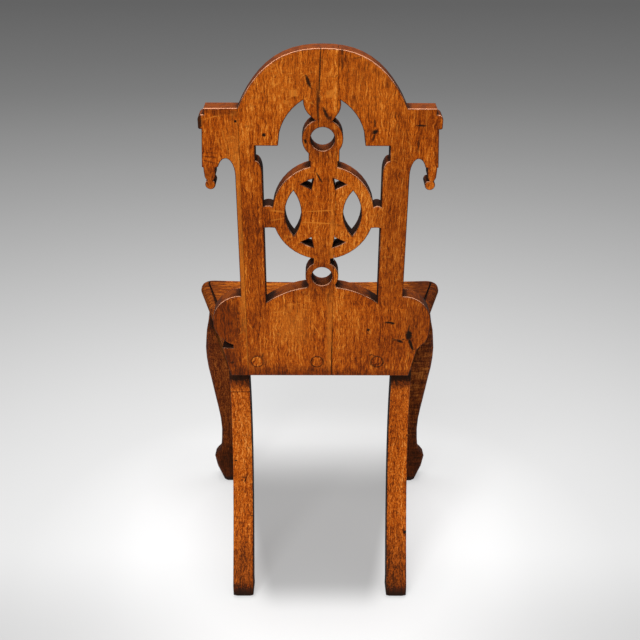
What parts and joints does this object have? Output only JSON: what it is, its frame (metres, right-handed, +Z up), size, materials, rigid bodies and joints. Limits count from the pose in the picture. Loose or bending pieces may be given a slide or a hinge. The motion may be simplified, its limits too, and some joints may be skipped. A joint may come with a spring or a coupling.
{
  "type": "hall chair",
  "caption": "Oak hall chair with a raked, pierced plank back under a round arch, a moulded plank seat, cabriole front legs and swept rear legs.",
  "frame": {"origin": "on the floor, under the middle of the bounding box", "axes": "+Z up, the chair faces -Y, +X to the sitter's left hand"},
  "size_m": [0.4784, 0.5032, 0.9127],
  "materials": {
    "back_oak": "waxed golden oak, polished on the edges",
    "seat_oak": "waxed oak, a little darker than the back",
    "front_leg_oak": "dark waxed oak with a ripple figure",
    "rear_leg_oak": "waxed golden oak, dark at the heel",
    "frame_oak": "oiled oak",
    "block_pine": "bare softwood",
    "pellet_oak": "waxed oak, flush with the back",
    "screw_steel": "dull steel"
  },
  "bodies": {
    "root": {"back_board_left": "back_oak", "back_board_middle": "back_oak", "back_board_right": "back_oak", "seat_board_front": "seat_oak", "seat_board_rear": "seat_oak", "pellet_1": "pellet_oak", "back_screw_1": "screw_steel", "pellet_2": "pellet_oak", "back_screw_2": "screw_steel", "pellet_3": "pellet_oak", "back_screw_3": "screw_steel", "rear_leg_right": "rear_leg_oak", "rear_leg_left": "rear_leg_oak", "rear_leg_head_left": "rear_leg_oak", "front_leg_left": "front_leg_oak", "front_leg_right": "front_leg_oak", "front_rail": "frame_oak", "back_rail": "frame_oak", "side_rail_left": "frame_oak", "corner_block_front_left": "block_pine", "seat_screw_front_left": "screw_steel", "corner_block_rear_left": "block_pine", "seat_screw_rear_left": "screw_steel", "side_rail_right": "frame_oak", "corner_block_front_right": "block_pine", "seat_screw_front_right": "screw_steel", "corner_block_rear_right": "block_pine", "seat_screw_rear_right": "screw_steel"}
  },
  "joints": []
}
